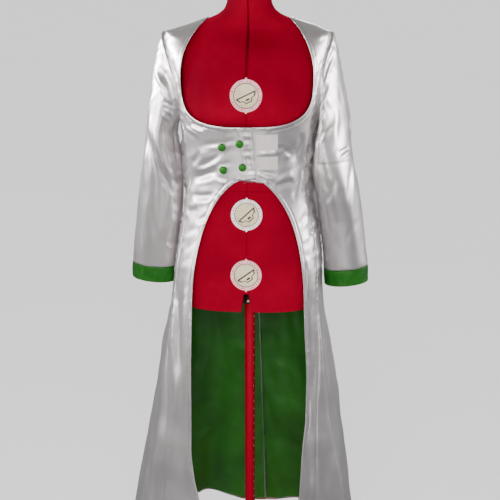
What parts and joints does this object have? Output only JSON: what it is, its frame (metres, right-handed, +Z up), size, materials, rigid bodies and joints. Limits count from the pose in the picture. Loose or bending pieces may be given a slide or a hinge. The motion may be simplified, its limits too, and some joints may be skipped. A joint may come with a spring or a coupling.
{
  "type": "long-sleeved satin tailcoat on an adjustable dress form with a stand",
  "caption": "Open-fronted satin tailcoat with long sleeves, green lining and cuffs, worn by an adjustable dress form on a pole and round base.",
  "frame": {"origin": "middle of the stand's underside, on the floor", "axes": "+Z up the pole, -Y out of the coat's front, +X towards the wearer's left"},
  "size_m": [0.6009, 0.3996, 1.54],
  "materials": {
    "white_satin": "silver-white polyester satin, soft sheen",
    "green_satin": "deep green satin, soft sheen",
    "red_jersey": "smooth red jersey over foam",
    "pink_plastic": "moulded, slightly worn",
    "cream_plastic": "moulded, aged cream",
    "dark_plastic": "moulded",
    "red_enamel": "glossy enamel",
    "loop_tape": "looped pile tape"
  },
  "bodies": {
    "root": {"back_left": "white_satin", "back_right": "white_satin", "base": "red_enamel", "button_1": "green_satin", "button_2": "green_satin", "button_3": "green_satin", "button_4": "green_satin", "cuff_left": "green_satin", "cuff_right": "green_satin", "dial_face_bust": "cream_plastic", "dial_face_hip": "cream_plastic", "dial_face_waist": "cream_plastic", "dial_ring_bust": "pink_plastic", "dial_ring_hip": "pink_plastic", "dial_ring_waist": "pink_plastic", "form_torso": "red_jersey", "front_left": "white_satin", "front_right": "white_satin", "lining_left": "green_satin", "lining_right": "green_satin", "loop_patch_1": "loop_tape", "loop_patch_2": "loop_tape", "neck_cap": "dark_plastic", "pole": "red_enamel", "pole_collar": "dark_plastic", "pole_socket": "dark_plastic", "side_left": "white_satin", "side_right": "white_satin", "sleeve_left": "white_satin", "sleeve_right": "white_satin"}
  },
  "joints": []
}
